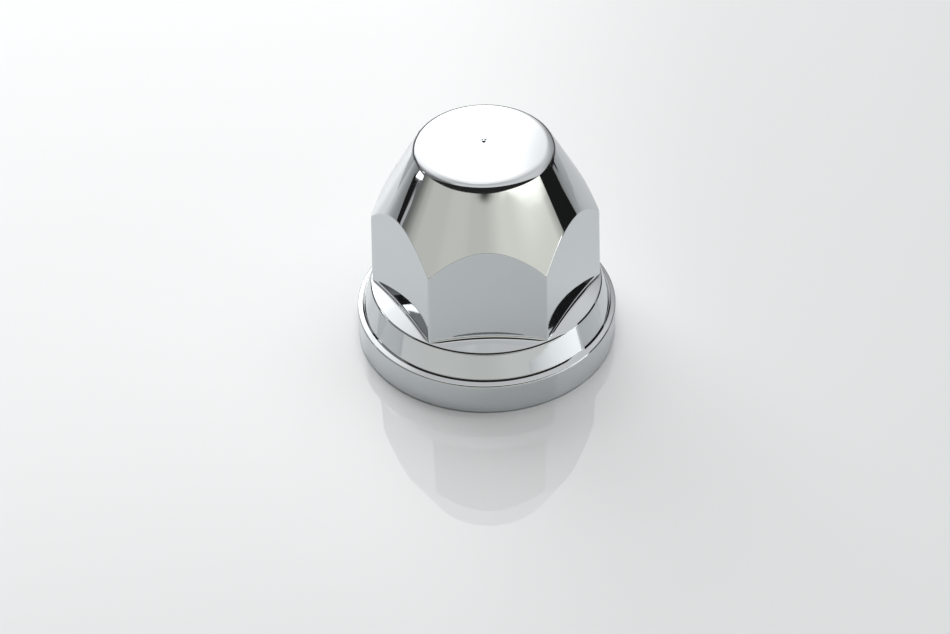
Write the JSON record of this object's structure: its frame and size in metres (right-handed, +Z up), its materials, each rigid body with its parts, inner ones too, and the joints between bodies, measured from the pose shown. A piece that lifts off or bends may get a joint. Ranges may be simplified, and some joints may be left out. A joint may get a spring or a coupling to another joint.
{
  "type": "lug nut cover",
  "caption": "Push-on wheel nut cover: a plated hexagonal cap with a turned, domed crown on a round flange, hollow underneath with ribs that grip the nut.",
  "frame": {"origin": "centre of the flange's lower face, which rests on the wheel", "axes": "+Z up the nut's axis, from the flange to the dome; two flats of the hexagon face +Y and -Y"},
  "size_m": [0.06, 0.06, 0.054],
  "materials": {
    "plating": "bright mirror chrome plating over moulded plastic"
  },
  "bodies": {
    "root": {"cover": "plating"}
  },
  "joints": []
}
